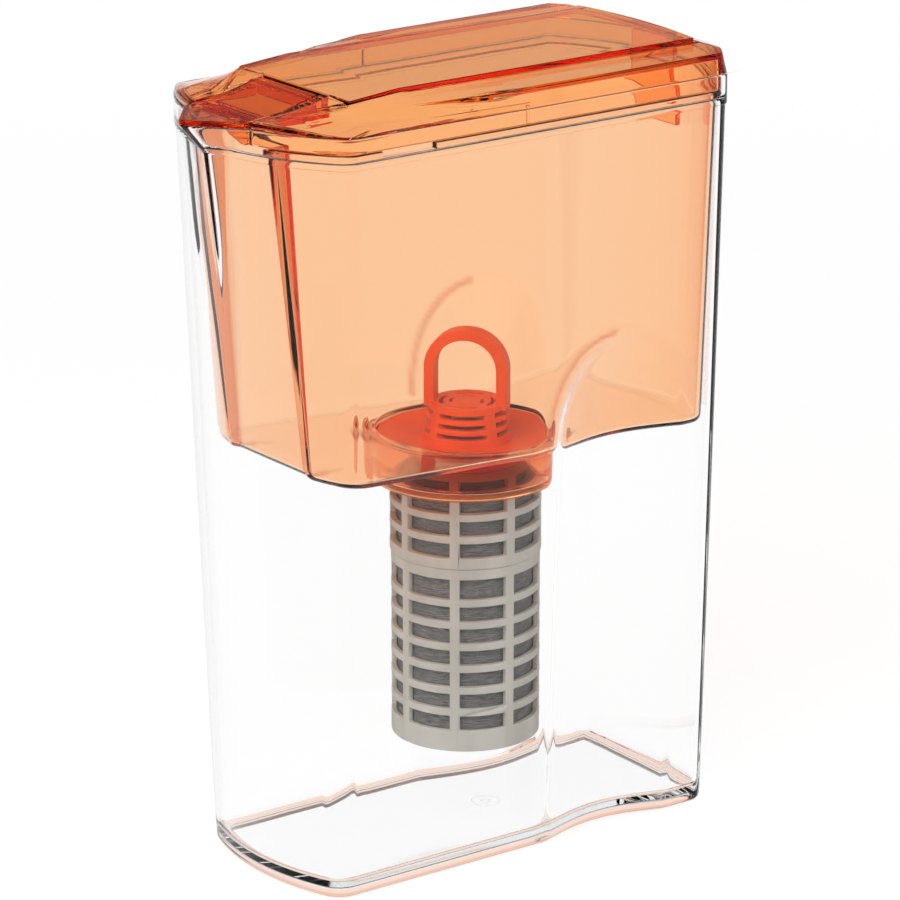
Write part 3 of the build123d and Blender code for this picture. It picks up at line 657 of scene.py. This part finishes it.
# the reservoir's wall at a height: blended between the plans of its floor and of its mouth
def basinRing(height, inset):
    bottom, top = basin["underside"], jugShape["bandBottom"]
    share = np.clip((height - bottom) / (top - bottom), 0, 1)
    mouth = outline(plans["jugTop"], basin["gap"] + inset, corners["basinTail"])
    ring = blended(outline(plans["reservoirBase"], inset), mouth, share)
    return channelled(hollowed(ring, height, basin["gap"] + inset), height, inset)


# the flange's edge, with a notch in each side that ends short of the wall
def flangeRing(inset, height):
    ring = outline(plans["band"], basin["flangeInset"] + inset)
    x, y = ring[:, 0], ring[:, 1]
    edge = basin["notchEdge"] / 2
    inNotch = smooth(x, basin["notchFrom"] - edge, basin["notchFrom"] + edge)
    inNotch = inNotch - smooth(x, basin["notchTo"] - edge, basin["notchTo"] + edge)
    wallSide = plans["jugTop"][0] - basin["gap"] - inset
    drawn = np.maximum(np.abs(y) - basin["notchDepth"] * inNotch, wallSide)
    ring[:, 1] = np.where(inNotch > 0, np.sign(y) * drawn, y)
    return channelled(ring, height, inset)


# the cartridge's circle at a radius, with each column at the angle of its place in the floor
def circleRing(radius):
    floor = outline(plans["reservoirBase"], 0.0)
    angle = np.arctan2(floor[:, 1], floor[:, 0] - axisX * 1000)
    return np.stack([axisX * 1000 + radius * np.cos(angle), radius * np.sin(angle)], 1)


# the floor climbs from the cartridge's axis towards the front
def climbed(ring, height):
    slope = basin["climb"] / (axisX * 1000 - plans["reservoirBase"][2])
    return height + slope * np.maximum(axisX * 1000 - ring[:, 0], 0)


# all levels, from the flange's edge over its top, down the inside, through the socket and back up
# the outside
def basinLevels():
    shape = basin
    top = jugShape["ledge"] + shape["flange"]
    walk = []
    for up, across in reversed(quarter(3)):
        ring = flangeRing(shape["flangeRound"] * across, jugShape["ledge"])
        walk.append((ring, jugShape["ledge"] + shape["flangeRound"] * (1 - up)))
    for up, across in quarter(3):
        ring = flangeRing(shape["flangeRound"] * across, jugShape["ledge"])
        walk.append((ring, top - shape["flangeRound"] * (1 - up)))
    for across, down in quarter(3):
        walk.append((basinRing(top, shape["wall"] - shape["flangeRound"] * (1 - across)),
                     top - shape["flangeRound"] * down))
    inner = np.concatenate([levels(254.0, 200.0, 6.0), levels(184.0, 148.0, 1.3)])
    for height in inner:
        walk.append((basinRing(height, shape["wall"]), height))
    floor = shape["underside"] + shape["wall"]
    for down, across in quarter(5):
        inset = shape["wall"] + shape["innerRound"] * across
        ring = basinRing(floor, inset)
        walk.append((ring, climbed(ring, floor + shape["innerRound"] * (1 - down))))
    edge = walk[-1][0]
    mouth = circleRing(shape["bore"] + shape["lip"])
    for share in (*basinSpread, 1.0):
        ring = blended(edge, mouth, share)
        walk.append((ring, climbed(ring, floor)))
    for across, down in quarter(3)[1:]:
        ring = circleRing(shape["bore"] + shape["lip"] * (1 - across))
        walk.append((ring, climbed(ring, floor - shape["lip"] * down)))
    socketFloor = shape["socketBottom"] + shape["socketFloor"]
    for radius, height in [
            (shape["bore"], shape["seat"] + 0.2), (shape["bore"] - 0.2, shape["seat"]),
            (shape["seatBore"] + 0.2, shape["seat"]), (shape["seatBore"], shape["seat"] - 0.2),
            (shape["seatBore"], socketFloor + 0.4), (shape["seatBore"] - 0.1, socketFloor + 0.1),
            (shape["seatBore"] - 0.4, socketFloor),
            (shape["hole"] + 0.3, socketFloor), (shape["hole"], socketFloor - 0.3),
            (shape["hole"], shape["socketBottom"] + 0.3), (shape["hole"] + 0.3, shape["socketBottom"]),
            (shape["socketRadius"] - shape["socketChamfer"] - 0.3, shape["socketBottom"])]:
        walk.append((circleRing(radius), height))
    for across, up in quarter(4):
        walk.append((circleRing(shape["socketRadius"] - shape["socketChamfer"] * (1 - across)),
                     shape["socketBottom"] + shape["socketChamfer"] * up))
    under = circleRing(shape["socketRadius"])
    for height in (shape["underside"] - 0.6, shape["underside"] - 0.15):
        walk.append((under, climbed(under, height)))
    under = circleRing(shape["socketRadius"] + 0.5)
    rim = basinRing(shape["underside"], shape["edgeRound"])
    for share in (0.0, *basinSpread):
        ring = blended(under, rim, share)
        walk.append((ring, climbed(ring, shape["underside"])))
    for across, up in quarter(7):
        ring = basinRing(shape["underside"], shape["edgeRound"] * (1 - across))
        walk.append((ring, climbed(ring, shape["underside"] + shape["edgeRound"] * up)))
    for height in inner[::-1]:
        walk.append((basinRing(height, 0.0), height))
    walk.append((basinRing(jugShape["ledge"] - 0.1, 0.0), jugShape["ledge"] - 0.1))
    return walk


# shares of the painted shade, the widths of its bell curves, and where each stops
deep = {
    "channel": 0.8, "channelWidth": 2.0, "channelBehind": -60,
    "fold": 0.55, "foldBorder": 0.97, "foldWidth": 0.025,
    "foldX": (0, 44), "foldSide": 30, "foldAbove": 143,
    "cupMargin": 0.3, "cupRise": (126.5, 128.5), "cupFall": (140.0, 142.0),
    "cornerX": (79.5, 82.5), "cornerSide": (33.0, 38.0),
}


# how much painted shade each point gets: bell curves about the sides of the channel and the border of
# the hollow, the wall of the socket, and the corners at the tail where they turn away
def reservoirPaintedShade(points):
    x, y, z = points.T
    side = np.abs(y)
    channel = deep["channel"] * np.exp(-((side - basin["channelHalf"]) / deep["channelWidth"]) ** 2)
    channel = channel * (x < deep["channelBehind"])
    front, top = grip["front"] - basin["gap"], grip["top"] + basin["gap"]
    across = np.clip((grip["middle"] - x) / (grip["middle"] - front), 0, 2)
    up = np.clip((z - (top - grip["fade"])) / grip["fade"], 0, 2)
    border = (across ** grip["roundness"] + up ** grip["roundness"]) ** (1 / grip["roundness"])
    fold = deep["fold"] * np.exp(-((border - deep["foldBorder"]) / deep["foldWidth"]) ** 2)
    fold = fold * (x > deep["foldX"][0]) * (x < deep["foldX"][1])
    fold = fold * (side > deep["foldSide"]) * (z > deep["foldAbove"])
    within = np.hypot(x - axisX * 1000, y) < basin["socketRadius"] + deep["cupMargin"]
    cup = within * smooth(z, *deep["cupRise"]) * (1 - smooth(z, *deep["cupFall"]))
    corner = smooth(x, *deep["cornerX"]) * smooth(side, *deep["cornerSide"])
    return {"deep": np.maximum(np.maximum(channel, fold), cup), "turned": corner}


skinned("reservoir_skin", basinLevels(), True, orange, "reservoir_unit", "reservoir",
        reservoirPaintedShade)


# copies of CAD pieces with their doubles merged and their sharp edges rounded off by a width in mm
softEdges = {
    "lid": {"piece": "lid_shell", "body": "lid_unit", "slot": "orange_clear", "width": 0.35},
    "spout_flap": {"piece": "flap_shell", "body": "flap", "slot": "orange_clear", "width": 0.3},
    "cartridge_cap": {"piece": "cap_moulding", "body": "cartridge", "slot": "orange_solid", "width": 0.3},
    "upper_cage": {"piece": "cage_collar", "body": "cartridge", "slot": "cage_grey", "width": 0.35},
    "lower_cage": {"piece": "cage_basket", "body": "cartridge", "slot": "cage_grey", "width": 0.35},
}
rounding = {"sharpFrom": math.radians(15), "creaseFrom": math.radians(38), "steps": 2, "merge": 1e-6}


def softened(node, settings):
    work = bmesh.new()
    work.from_mesh(nodes[node].data)
    bmesh.ops.remove_doubles(work, verts=work.verts, dist=rounding["merge"])
    sharp = [edge for edge in work.edges
             if len(edge.link_faces) == 2 and edge.calc_face_angle() > rounding["sharpFrom"]]
    bmesh.ops.bevel(work, geom=sharp, offset=settings["width"] / 1000, offset_type="OFFSET",
                    segments=rounding["steps"], profile=0.5, affect="EDGES", clamp_overlap=False)
    bmesh.ops.remove_doubles(work, verts=work.verts, dist=rounding["merge"])
    mesh = bpy.data.meshes.new(settings["piece"])
    work.to_mesh(mesh)
    work.free()
    mesh.shade_smooth()
    mesh.set_sharp_from_angle(angle=rounding["creaseFrom"])
    mesh.materials.append(finishes[node])
    piece = bpy.data.objects.new(settings["piece"], mesh)
    bpy.context.scene.collection.objects.link(piece)
    # the flat faces stay flat and the rounded edges carry the turn
    weighted = piece.modifiers.new("flatFaces", "WEIGHTED_NORMAL")
    weighted.mode = "FACE_AREA"
    weighted.weight = 100
    weighted.keep_sharp = True
    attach(piece, settings["body"])
    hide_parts(node)
    print(settings["piece"], "has", len(mesh.polygons), "faces and", len(sharp), "rounded edges")


for node, settings in softEdges.items():
    softened(node, settings)


# pale floor that fades into the white surroundings, and the surroundings themselves
studio = {"floorSize": 12.0, "floorColour": (0.92, 0.92, 0.92, 1), "fadeStart": 0.35, "fadeEnd": 1.3,
          "floorShare": 0.75, "glassShare": 0.93, "skyLight": 0.8,
          "overhead": 0.35, "dimFrom": 0.25, "dimTo": 0.75,
          "sheen": 0.15, "sheenFrom": 0.02, "sheenTo": 0.28}


def seenDirectly(finish):
    path = finish.node("LightPath", output="Is Camera Ray")
    rays = path.socket.node.outputs
    return path.maths("MAXIMUM", Wire(finish, rays["Is Glossy Ray"])).maths(
        "MAXIMUM", Wire(finish, rays["Is Transmission Ray"]))


def makeFloor():
    half = studio["floorSize"] / 2
    mesh = bpy.data.meshes.new("floor")
    points = [(-half, -half, 0), (half, -half, 0), (half, half, 0), (-half, half, 0)]
    mesh.from_pydata(points, [], [(0, 1, 2, 3)])
    floor = bpy.data.objects.new("floor", mesh)
    bpy.context.scene.collection.objects.link(floor)
    finish = Finish("floorPaint")
    distance = finish.node("VectorMath", {"operation": "LENGTH"}, {0: finish.place()}, output="Value")
    fade = finish.between(distance, studio["fadeStart"], studio["fadeEnd"])
    matt = finish.node("BsdfDiffuse", {}, {"Color": studio["floorColour"]})
    white = finish.node("Emission", {}, {"Color": (1, 1, 1, 1), "Strength": 1.0})
    camera = finish.node("LightPath", output="Is Camera Ray")
    least = studio["glassShare"] + (studio["floorShare"] - studio["glassShare"]) * camera
    share = (least + (1 - least) * fade) * seenDirectly(finish)
    finish.close(finish.node("MixShader", {}, {0: share, 1: matt, 2: white}))
    mesh.materials.append(finish.owner)


def grey(level):
    return (level, level, level, 1)


def makeSurroundings():
    world = bpy.data.worlds.new("surroundings")
    bpy.context.scene.world = world
    finish = Finish("surroundings", world)
    up = finish.node("SeparateXYZ", {}, {0: finish.node("TexCoord", output="Generated")}, output="Z")
    camera = finish.node("LightPath", output="Is Camera Ray")
    dimmed = finish.between(up, studio["dimFrom"], studio["dimTo"]) * (1 - camera)
    through = finish.mixed(dimmed, grey(1), grey(studio["overhead"]))
    # what mirrors in the upward faces is darker still, so that the plastic keeps its colour
    rays = camera.socket.node.outputs
    notThrough = 1 - Wire(finish, rays["Is Transmission Ray"])
    mirrored = finish.between(up, studio["sheenFrom"], studio["sheenTo"]) * Wire(
        finish, rays["Is Glossy Ray"]) * notThrough
    seen = finish.mixed(mirrored, through, grey(studio["sheen"]))
    shown = finish.node("Background", {}, {"Color": seen, "Strength": 1.0})
    sky = finish.node("Background", {}, {"Color": grey(1), "Strength": studio["skyLight"]})
    finish.close(finish.node("MixShader", {}, {0: seenDirectly(finish), 1: sky, 2: shown}))


# one broad lamp and a weaker one, aimed at the middle of the object
lamps = {
    "keyLamp": {"at": (-0.9, -0.5, 1.1), "size": 0.9, "watts": 14.0},
    "fillLamp": {"at": (0.9, -1.0, 0.6), "size": 1.0, "watts": 4.0},
}


def makeLamps():
    middle = (cadBox[0] + cadBox[1]) / 2
    for name, lamp in lamps.items():
        light = bpy.data.lights.new(name, "AREA")
        light.energy = lamp["watts"]
        light.size = lamp["size"]
        holder = bpy.data.objects.new(name, light)
        holder.location = lamp["at"]
        holder.rotation_euler = (middle - Vector(lamp["at"])).to_track_quat("-Z", "Y").to_euler()
        bpy.context.scene.collection.objects.link(holder)


# the photograph's view: a long lens from the front left, a little above
photoView = {"turn": -36.5, "pitch": 17.6, "distance": 1.7, "aim": (0.00801, 0.00273, 0.1335),
             "lens": 200.0, "sensor": 36.0}


def makeCamera():
    turn = math.radians(photoView["turn"])
    pitch = math.radians(photoView["pitch"])
    back = Vector((math.sin(turn) * math.cos(pitch), -math.cos(turn) * math.cos(pitch), math.sin(pitch)))
    data = bpy.data.cameras.new("photoCamera")
    data.lens = photoView["lens"]
    data.sensor_width = photoView["sensor"]
    camera = bpy.data.objects.new("photoCamera", data)
    camera.location = Vector(photoView["aim"]) + photoView["distance"] * back
    camera.rotation_euler = (-back).to_track_quat("-Z", "Y").to_euler()
    bpy.context.scene.collection.objects.link(camera)
    bpy.context.scene.camera = camera


makeFloor()
makeSurroundings()
makeLamps()
makeCamera()
scene = bpy.context.scene
scene.view_settings.view_transform = "Standard"
# light passes many plastic walls before it leaves the jug
bounces = {"max_bounces": 40, "transmission_bounces": 40, "transparent_max_bounces": 40,
           "glossy_bounces": 12}
for name, count in bounces.items():
    setattr(scene.cycles, name, count)
print("studio set")
